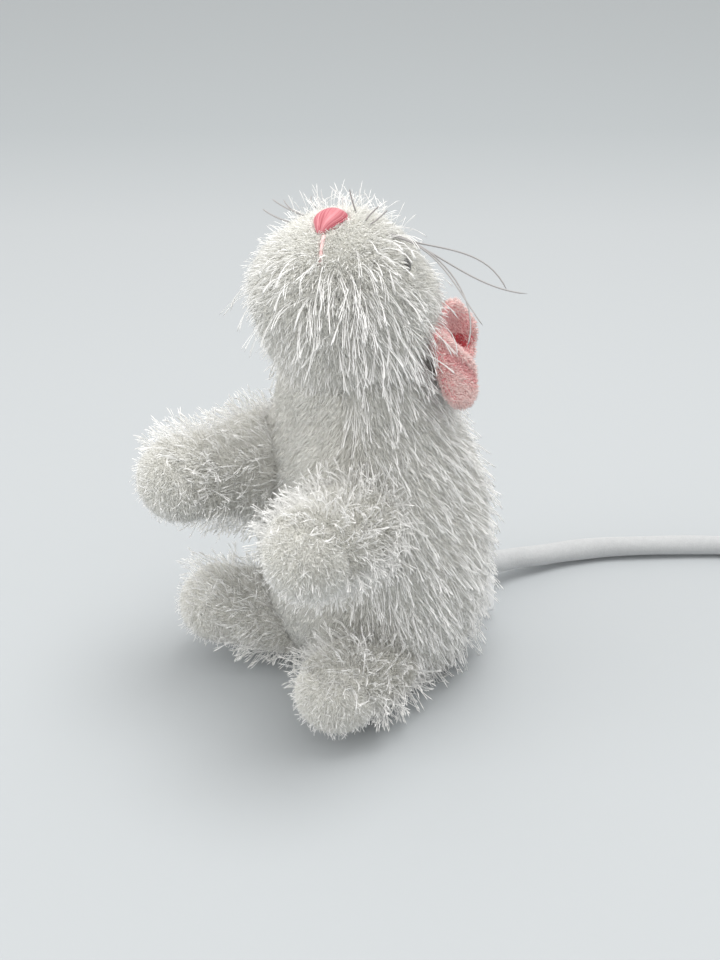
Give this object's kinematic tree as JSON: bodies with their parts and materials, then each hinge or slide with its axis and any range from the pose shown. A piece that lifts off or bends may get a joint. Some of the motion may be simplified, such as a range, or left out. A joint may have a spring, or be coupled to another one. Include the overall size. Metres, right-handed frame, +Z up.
{
  "type": "plush mouse",
  "caption": "Small white plush bean-bag mouse that sits upright with its head thrown back, with pink ears, a stitched pink nose, thread whiskers and a long stuffed tail",
  "frame": {"origin": "centre of the flat seat that it rests on", "axes": "+Z up, the mouse faces -Y, its left side is +X and the tail runs back along +Y"},
  "size_m": [0.1679, 0.2134, 0.1455],
  "materials": {
    "long_plush": "long silky pile over a dense short pile",
    "short_plush": "dense short pile that lies in one direction",
    "velour": "smooth knitted velour",
    "ear_plush": "short pink pile",
    "fibre": "loose polyester fibre",
    "satin_tape": "woven satin tape",
    "embroidery": "glossy satin-stitch thread",
    "whisker_thread": "stiff waxed thread",
    "eye_plastic": "polished black plastic",
    "washer_plastic": "moulded black plastic",
    "pellets": "small smooth plastic pellets"
  },
  "bodies": {
    "torso": {"belly_panel": "short_plush", "back_panel_left": "long_plush", "back_panel_right": "long_plush", "seat_panel": "velour", "torso_filling": "fibre", "base_filling": "fibre", "pellet_pouch": "velour", "pellet_fill": "pellets", "care_label": "satin_tape"},
    "head": {"cheek_left": "long_plush", "cheek_right": "long_plush", "forehead_gusset": "short_plush", "head_filling": "fibre", "nose_pad": "embroidery", "mouth_stitch": "embroidery", "eye_left": "eye_plastic", "eye_right": "eye_plastic", "eye_washer_left": "washer_plastic", "eye_washer_right": "washer_plastic", "whiskers_left": "whisker_thread", "whiskers_right": "whisker_thread"},
    "ear_left": {"ear_left_front": "ear_plush", "ear_left_back": "ear_plush"},
    "ear_right": {"ear_right_front": "ear_plush", "ear_right_back": "ear_plush"},
    "arm_left": {"arm_left_skin": "long_plush", "paw_pad_left": "short_plush", "arm_left_filling": "fibre"},
    "arm_right": {"arm_right_skin": "long_plush", "paw_pad_right": "short_plush", "arm_right_filling": "fibre"},
    "leg_left": {"leg_left_skin": "long_plush", "sole_left": "short_plush", "leg_left_filling": "fibre"},
    "leg_right": {"leg_right_skin": "long_plush", "sole_right": "short_plush", "leg_right_filling": "fibre"},
    "tail": {"tail_skin": "velour", "tail_core": "fibre"}
  },
  "joints": [
    {"name": "neck_nod", "type": "hinge", "parent": "torso", "child": "head", "pos_m": [0, -0.00967, 0.09199], "axis": [1, 0, 0], "range_deg": [-10, 22], "stiffness_Nm_per_rad": 0.12},
    {"name": "ear_left_fold", "type": "hinge", "parent": "head", "child": "ear_left", "pos_m": [0.0196, -0.00255, 0.1102], "axis": [0.3442, -0.7468, -0.569], "range_deg": [-4, 40], "stiffness_Nm_per_rad": 0.01},
    {"name": "ear_right_fold", "type": "hinge", "parent": "head", "child": "ear_right", "pos_m": [-0.0196, -0.00255, 0.1102], "axis": [0.3442, 0.7468, 0.569], "range_deg": [-4, 40], "stiffness_Nm_per_rad": 0.01},
    {"name": "shoulder_left", "type": "hinge", "parent": "torso", "child": "arm_left", "pos_m": [0.01756, -0.03059, 0.061], "axis": [-1, 0, 0], "range_deg": [-15, 35], "stiffness_Nm_per_rad": 0.03},
    {"name": "shoulder_right", "type": "hinge", "parent": "torso", "child": "arm_right", "pos_m": [-0.02159, -0.02611, 0.0635], "axis": [-1, 0, 0], "range_deg": [-20, 30], "stiffness_Nm_per_rad": 0.03},
    {"name": "hip_left", "type": "hinge", "parent": "torso", "child": "leg_left", "pos_m": [0.01846, -0.0226, 0.013], "axis": [-1, 0, 0], "range_deg": [-3, 10], "stiffness_Nm_per_rad": 0.05},
    {"name": "hip_right", "type": "hinge", "parent": "torso", "child": "leg_right", "pos_m": [-0.01846, -0.0226, 0.013], "axis": [-1, 0, 0], "range_deg": [-3, 10], "stiffness_Nm_per_rad": 0.05},
    {"name": "tail_sweep", "type": "hinge", "parent": "torso", "child": "tail", "pos_m": [0, 0.026, 0.011], "axis": [0, 0, 1], "range_deg": [-32, 40], "stiffness_Nm_per_rad": 0.01}
  ]
}
